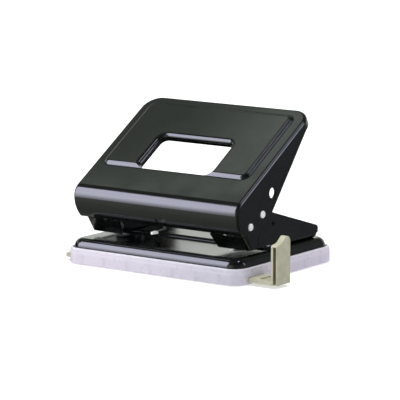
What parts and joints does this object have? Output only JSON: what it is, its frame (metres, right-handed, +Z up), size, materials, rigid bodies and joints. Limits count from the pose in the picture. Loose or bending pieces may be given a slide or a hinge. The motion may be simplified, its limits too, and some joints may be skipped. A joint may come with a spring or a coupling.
{
  "type": "two-hole punch",
  "caption": "Desk punch with a pressed metal lever handle that drives round punches through paper into a chip tray with a sliding paper guide.",
  "frame": {"origin": "centre of the tray's outline, on the surface that the mat stands on", "axes": "+X across the punch towards the paper guide's upright, +Y from the paper side to the rear, where the handle rises, +Z up"},
  "size_m": [0.1439, 0.0944, 0.0861],
  "materials": {
    "black_gloss_paint": "gloss black enamel on pressed steel",
    "tray_plastic": "milky translucent moulded plastic",
    "guide_plastic": "beige moulded plastic, satin",
    "mat_rubber": "soft black rubber",
    "bright_steel": "bright zinc plate",
    "rod_steel": "polished plated rod with domed ends",
    "pointer_plastic": "black moulded plastic with a white painted tip"
  },
  "bodies": {
    "base": {"base_plate": "black_gloss_paint", "frame": "black_gloss_paint", "frame_rivets": "bright_steel", "bracket_left": "black_gloss_paint", "bracket_right": "black_gloss_paint", "bracket_rivets": "black_gloss_paint", "guide_bush_left": "bright_steel", "guide_bush_right": "bright_steel", "die_left": "bright_steel", "die_right": "bright_steel", "return_spring_left": "bright_steel", "return_spring_right": "bright_steel", "pivot_rod": "rod_steel", "pivot_clips": "bright_steel", "centre_pointer": "pointer_plastic"},
    "handle": {"handle": "black_gloss_paint", "press_rod": "rod_steel", "press_clips": "bright_steel"},
    "punch_left": {"punch_left": "bright_steel", "spring_seat_left": "bright_steel"},
    "punch_right": {"punch_right": "bright_steel", "spring_seat_right": "bright_steel"},
    "tray": {"chip_tray": "tray_plastic", "tray_mat": "mat_rubber"},
    "guide": {"paper_guide": "guide_plastic"}
  },
  "joints": [
    {"name": "handle_press", "type": "hinge", "parent": "base", "child": "handle", "pos_m": [0, -0.0311, 0.0302], "axis": [-1, 0, 0], "range_deg": [0, 30], "stiffness_Nm_per_rad": 0.47, "springref_deg": -30.37},
    {"name": "punch_left_slide", "type": "slide", "parent": "base", "child": "punch_left", "axis": [0, 0, -1], "range_m": [0, 0.0064], "deforming": ["return_spring_left"]},
    {"name": "punch_right_slide", "type": "slide", "parent": "base", "child": "punch_right", "axis": [0, 0, -1], "range_m": [0, 0.0064], "deforming": ["return_spring_right"]},
    {"name": "tray_open", "type": "hinge", "parent": "base", "child": "tray", "pos_m": [0, 0.0452, 0.0093], "axis": [1, 0, 0], "range_deg": [0, 40]},
    {"name": "guide_slide", "type": "slide", "parent": "tray", "child": "guide", "axis": [1, 0, 0], "range_m": [-0.0135, 0.075]}
  ],
  "couplings": [
    {"joint": "punch_left_slide", "follows": "handle_press", "m_per_rad": 0.01217},
    {"joint": "punch_right_slide", "follows": "handle_press", "m_per_rad": 0.01217}
  ]
}
